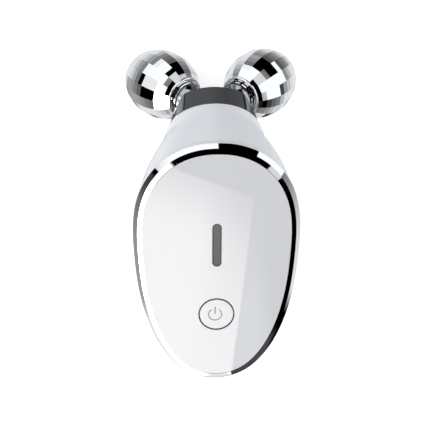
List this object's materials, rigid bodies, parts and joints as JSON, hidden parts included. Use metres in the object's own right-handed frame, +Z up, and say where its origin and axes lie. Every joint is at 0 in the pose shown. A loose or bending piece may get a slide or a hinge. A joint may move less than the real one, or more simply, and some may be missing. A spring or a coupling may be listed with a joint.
{
  "type": "facial toning device",
  "caption": "Palm-held facial roller: egg-shaped handpiece with chrome trim, a power button and a light window, and faceted chrome massage balls on splayed axles.",
  "frame": {"origin": "centre of the flat on which the underside of the housing rests, on the ground plane that the balls touch too", "axes": "+Z up, +Y from the tail towards the head and its balls, +X to the device's right; the deck is tilted 28 degrees, head end up"},
  "size_m": [0.0654, 0.1255, 0.0545],
  "materials": {
    "white_shell": "glossy white moulding",
    "white_plate": "glossy white plate",
    "chrome": "mirror chrome plating",
    "dark_plastic": "satin dark grey",
    "grey_window": "smoked translucent light guide",
    "led": "clear lens",
    "board": "green solder mask",
    "cell": "foil pouch",
    "foam": "foam tape",
    "steel": "ground steel",
    "contact": "gold plated",
    "lead": "wire insulation",
    "seal": "matt black rubber",
    "bush": "sintered bronze"
  },
  "bodies": {
    "handpiece": {"housing": "white_shell", "cover_frame": "white_shell", "top_cover": "white_plate", "trim_ring": "chrome", "button_switch": "dark_plastic", "indicator_window": "grey_window", "indicator_leds": "led", "circuit_board": "board", "battery": "cell", "battery_pad": "foam", "cover_screws": "steel", "charging_contacts": "contact", "charging_leads": "lead", "head_core": "dark_plastic", "cheek_left": "chrome", "cheek_right": "chrome", "lead_left": "lead", "lead_right": "lead", "axle_left": "steel", "axle_right": "steel", "clip_left": "steel", "clip_right": "steel", "spacer_left": "chrome", "spacer_right": "chrome", "washer_left": "dark_plastic", "washer_right": "dark_plastic"},
    "left_ball": {"ball_left": "chrome", "collar_left": "chrome", "seal_left": "seal", "hub_left": "dark_plastic", "inner_bush_left": "bush", "outer_bush_left": "bush"},
    "right_ball": {"ball_right": "chrome", "collar_right": "chrome", "seal_right": "seal", "hub_right": "dark_plastic", "inner_bush_right": "bush", "outer_bush_right": "bush"},
    "button": {"power_button": "white_plate"}
  },
  "joints": [
    {"name": "left_ball_spin", "type": "hinge", "parent": "handpiece", "child": "left_ball", "pos_m": [0, 0.0738, 0.03276], "axis": [-0.628, 0.4563, -0.6304], "continuous": true},
    {"name": "right_ball_spin", "type": "hinge", "parent": "handpiece", "child": "right_ball", "pos_m": [0, 0.0738, 0.03276], "axis": [0.628, 0.4563, -0.6304], "continuous": true},
    {"name": "power_button_press", "type": "slide", "parent": "handpiece", "child": "button", "axis": [0, 0.4695, -0.8829], "range_m": [0, 0.0003], "stiffness_N_per_m": 1500}
  ]
}
